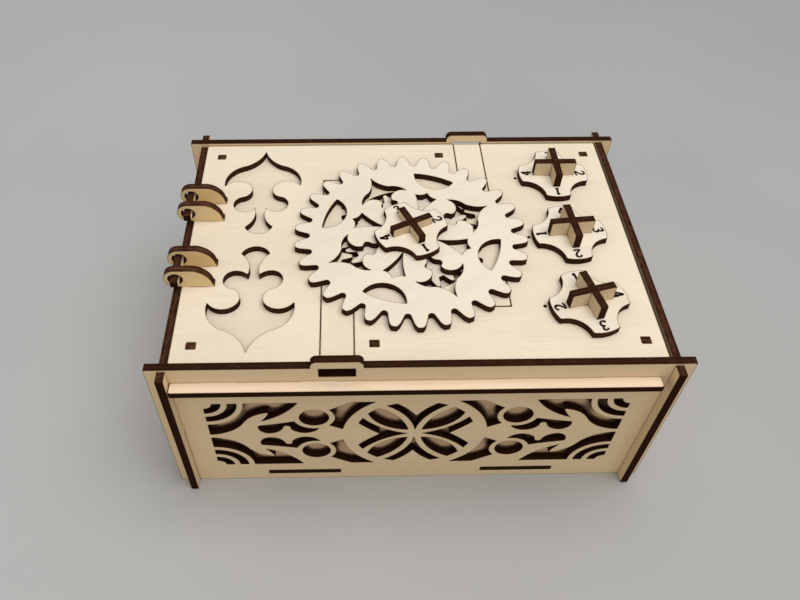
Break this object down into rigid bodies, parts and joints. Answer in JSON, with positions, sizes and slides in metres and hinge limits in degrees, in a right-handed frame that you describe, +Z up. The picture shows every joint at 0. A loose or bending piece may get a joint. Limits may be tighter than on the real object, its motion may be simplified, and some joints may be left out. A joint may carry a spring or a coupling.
{
  "type": "wooden puzzle box",
  "caption": "Slotted plywood box with a hinged lid; a gear on the lid drives bolts into wall keepers once numbered dials free it, with fretwork on the long walls.",
  "frame": {"origin": "middle of the box's footprint, on the table under the walls", "axes": "+X along the box from the hinge wall to the dial wall, +Y from the front wall to the back wall, +Z up"},
  "size_m": [0.198, 0.1362, 0.0939],
  "materials": {
    "birch_ply": "raw sanded face with scorched laser-cut edges"
  },
  "bodies": {
    "box": {"front_wall": "birch_ply", "back_wall": "birch_ply", "left_wall": "birch_ply", "right_wall": "birch_ply", "floor_panel": "birch_ply", "front_liner": "birch_ply", "back_liner": "birch_ply", "front_rail": "birch_ply", "back_rail": "birch_ply"},
    "lid": {"lid_base": "birch_ply", "lid_top_left": "birch_ply", "lid_top_right": "birch_ply", "lid_cover": "birch_ply", "lid_post_1": "birch_ply", "lid_post_2": "birch_ply", "lid_post_3": "birch_ply", "lid_post_4": "birch_ply", "lid_post_5": "birch_ply", "lid_post_6": "birch_ply", "hinge_fin_back_outer": "birch_ply", "hinge_fin_back_inner": "birch_ply", "hinge_fin_front_inner": "birch_ply", "hinge_fin_front_outer": "birch_ply"},
    "gear": {"drive_gear": "birch_ply", "pinion": "birch_ply", "knob_plate": "birch_ply", "knob_blade_long": "birch_ply", "knob_blade_cross": "birch_ply", "lock_spider": "birch_ply"},
    "front_bolt": {"front_bolt": "birch_ply"},
    "back_bolt": {"back_bolt": "birch_ply"},
    "dial_back": {"dial_back_plate": "birch_ply", "dial_back_blade_long": "birch_ply", "dial_back_blade_cross": "birch_ply", "dial_back_disc": "birch_ply"},
    "dial_middle": {"dial_middle_plate": "birch_ply", "dial_middle_blade_long": "birch_ply", "dial_middle_blade_cross": "birch_ply", "dial_middle_disc": "birch_ply"},
    "dial_front": {"dial_front_plate": "birch_ply", "dial_front_blade_long": "birch_ply", "dial_front_blade_cross": "birch_ply", "dial_front_disc": "birch_ply"}
  },
  "joints": [
    {"name": "lid_hinge", "type": "hinge", "parent": "box", "child": "lid", "pos_m": [-0.0928, 0, 0.0884], "axis": [0, -1, 0], "range_deg": [0, 110]},
    {"name": "gear_turn", "type": "hinge", "parent": "lid", "child": "gear", "pos_m": [0, 0, 0.0854], "axis": [0, 0, 1], "range_deg": [0, 15]},
    {"name": "front_bolt_slide", "type": "slide", "parent": "lid", "child": "front_bolt", "axis": [0, -1, 0], "range_m": [0, 0.00682]},
    {"name": "back_bolt_slide", "type": "slide", "parent": "lid", "child": "back_bolt", "axis": [0, 1, 0], "range_m": [0, 0.00682]},
    {"name": "dial_back_turn", "type": "hinge", "parent": "lid", "child": "dial_back", "pos_m": [0.0658, 0.0362, 0.0854], "axis": [0, 0, 1], "continuous": true},
    {"name": "dial_middle_turn", "type": "hinge", "parent": "lid", "child": "dial_middle", "pos_m": [0.0658, 0, 0.0854], "axis": [0, 0, 1], "continuous": true},
    {"name": "dial_front_turn", "type": "hinge", "parent": "lid", "child": "dial_front", "pos_m": [0.0658, -0.0362, 0.0854], "axis": [0, 0, 1], "continuous": true}
  ],
  "couplings": [
    {"joint": "front_bolt_slide", "follows": "gear_turn", "m_per_rad": 0.026},
    {"joint": "back_bolt_slide", "follows": "gear_turn", "m_per_rad": 0.026}
  ]
}
